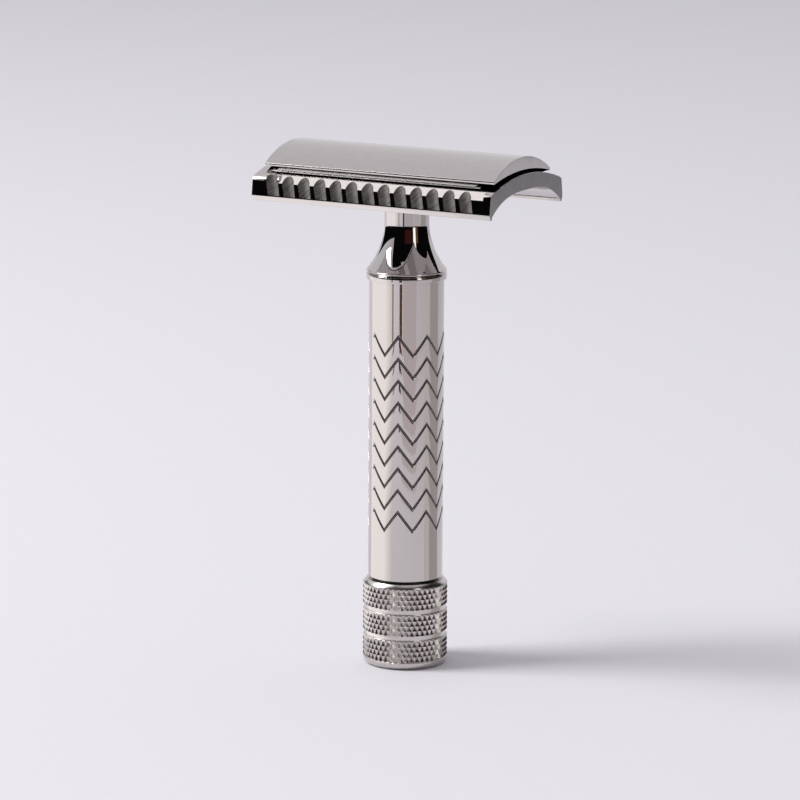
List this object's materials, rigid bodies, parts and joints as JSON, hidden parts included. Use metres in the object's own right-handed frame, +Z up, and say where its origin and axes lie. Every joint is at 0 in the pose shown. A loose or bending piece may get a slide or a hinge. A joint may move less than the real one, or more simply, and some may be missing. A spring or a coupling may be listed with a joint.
{
  "type": "safety razor",
  "caption": "Double-edge safety razor with a scalloped guard, an engraved barrel and a knurled knob at its foot that draws the cap down on to the blade.",
  "frame": {"origin": "centre of the flat foot of the knob, on the surface that the razor stands on", "axes": "+Z up along the handle's axis to the head, +X along the length of the head and blade, +Y from one guard to the other"},
  "size_m": [0.0448, 0.0258, 0.0878],
  "materials": {
    "cap_chrome": "polished chrome plate",
    "plate_chrome": "polished chrome plate, with satin cut scallops",
    "neck_chrome": "mirror-polished chrome plate",
    "barrel_chrome": "polished chrome plate with engraved zigzag grooves",
    "knob_chrome": "diamond-knurled chrome plate",
    "blade_steel": "ground stainless blade steel",
    "stud_steel": "plated steel",
    "rod_steel": "turned stainless steel",
    "clip_steel": "spring steel",
    "socket_brass": "turned brass",
    "bushing_brass": "turned brass",
    "washer_acetal": "black acetal"
  },
  "bodies": {
    "handle": {"barrel": "barrel_chrome", "neck": "neck_chrome", "base_plate": "plate_chrome", "guide_bushing": "bushing_brass"},
    "drive": {"knob": "knob_chrome", "draw_rod": "rod_steel", "threaded_socket": "socket_brass", "cross_pin": "rod_steel", "retaining_clip": "clip_steel", "wave_washer": "clip_steel", "thrust_washer": "washer_acetal", "knob_screw": "clip_steel"},
    "cap": {"top_cap": "cap_chrome", "cap_stud": "stud_steel", "guide_pin_left": "stud_steel", "guide_pin_right": "stud_steel"},
    "blade": {"blade": "blade_steel"}
  },
  "joints": [
    {"name": "knob_turn", "type": "hinge", "parent": "handle", "child": "drive", "pos_m": [0, 0, 0], "axis": [0, 0, -1], "range_deg": [0, 2520]},
    {"name": "cap_lift", "type": "slide", "parent": "handle", "child": "cap", "axis": [0, 0, 1], "range_m": [0, 0.0056]},
    {"name": "blade_lift", "type": "slide", "parent": "handle", "child": "blade", "axis": [0, 0, 1], "range_m": [0, 0.0028]}
  ],
  "couplings": [
    {"joint": "cap_lift", "follows": "knob_turn", "m_per_rad": 0.00012732},
    {"joint": "blade_lift", "follows": "knob_turn", "m_per_rad": 0.000063662}
  ]
}
